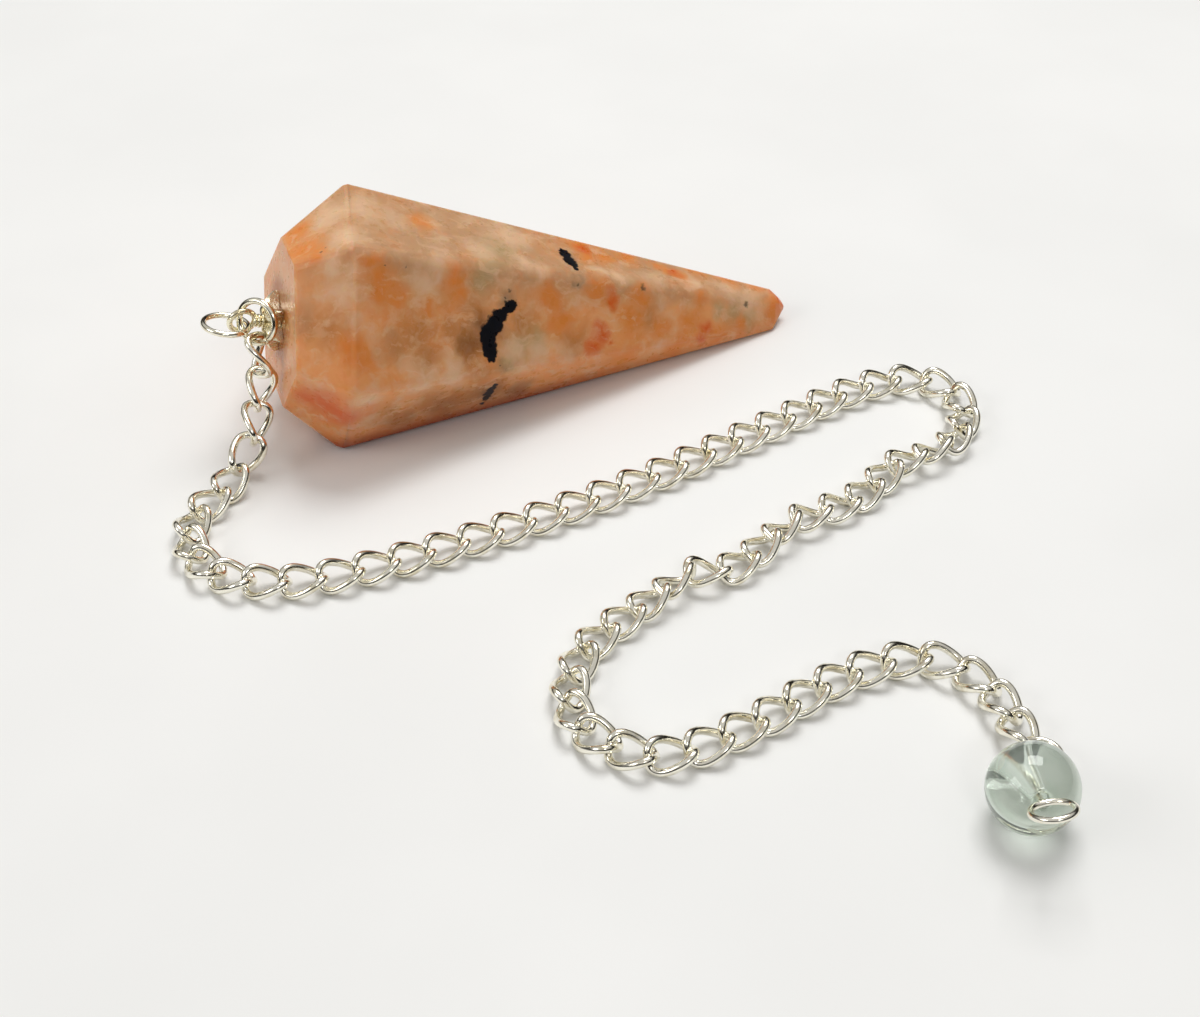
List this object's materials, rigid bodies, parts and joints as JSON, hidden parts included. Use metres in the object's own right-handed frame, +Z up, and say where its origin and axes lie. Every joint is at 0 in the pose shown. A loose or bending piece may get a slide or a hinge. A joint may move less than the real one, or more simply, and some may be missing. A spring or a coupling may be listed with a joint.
{
  "type": "pendulum pendant",
  "caption": "Faceted pointed stone with a star-shaped metal cap and rings, on a loose curb chain that ends in a small glass bead.",
  "frame": {"origin": "a point on the stone's resting facet, 14 mm towards the tip from the foot of its widest place", "axes": "+X to the right of the stone's top view, +Z up from the surface that the pieces lie on, +Y away from the chain"},
  "size_m": [0.0654, 0.0673, 0.0187],
  "materials": {
    "stone": "polished cloudy stone",
    "silver": "polished",
    "chain_silver": "polished",
    "bead_glass": "polished"
  },
  "bodies": {
    "root": {"stone": "stone", "cap": "silver", "jump_ring": "silver", "hang_ring": "silver", "chain": "chain_silver", "bead": "bead_glass", "bead_wire": "chain_silver"}
  },
  "joints": []
}
